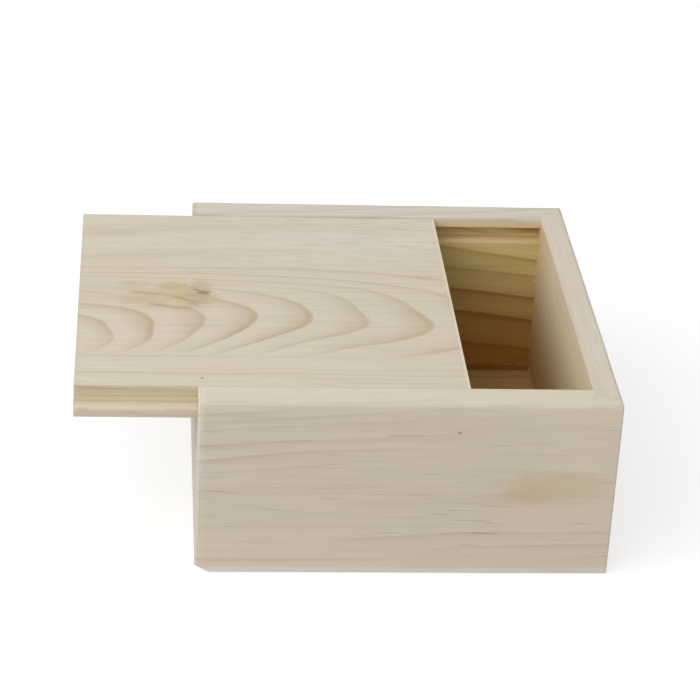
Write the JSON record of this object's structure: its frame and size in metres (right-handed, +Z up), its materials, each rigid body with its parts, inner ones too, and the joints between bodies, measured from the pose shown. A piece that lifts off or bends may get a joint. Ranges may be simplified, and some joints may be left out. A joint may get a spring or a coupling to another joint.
{
  "type": "sliding lid box",
  "caption": "Low wooden keepsake box with a rebated lid that slides in side grooves over a lower end wall.",
  "frame": {"origin": "centre of the box's underside, in the plane that it stands on", "axes": "+X along the lid's travel, towards the tall end wall; the lid draws out towards -X; +Y across the box, towards the rear wall; +Z up"},
  "size_m": [0.1935, 0.165, 0.07],
  "materials": {
    "side_board": "raw sanded softwood, straight grain along the box",
    "end_board": "raw sanded softwood, straight grain across the box",
    "plywood": "raw thin plywood",
    "lid_board": "raw sanded softwood with nested arched growth rings"
  },
  "bodies": {
    "box": {"side_wall_front": "side_board", "side_wall_rear": "side_board", "end_wall_tall": "end_board", "end_wall_low": "end_board", "bottom_panel": "plywood"},
    "lid": {"sliding_lid": "lid_board"}
  },
  "joints": [
    {"name": "lid_slide", "type": "slide", "parent": "box", "child": "lid", "axis": [-1, 0, 0], "range_m": [-0.0435, 0.098]}
  ]
}
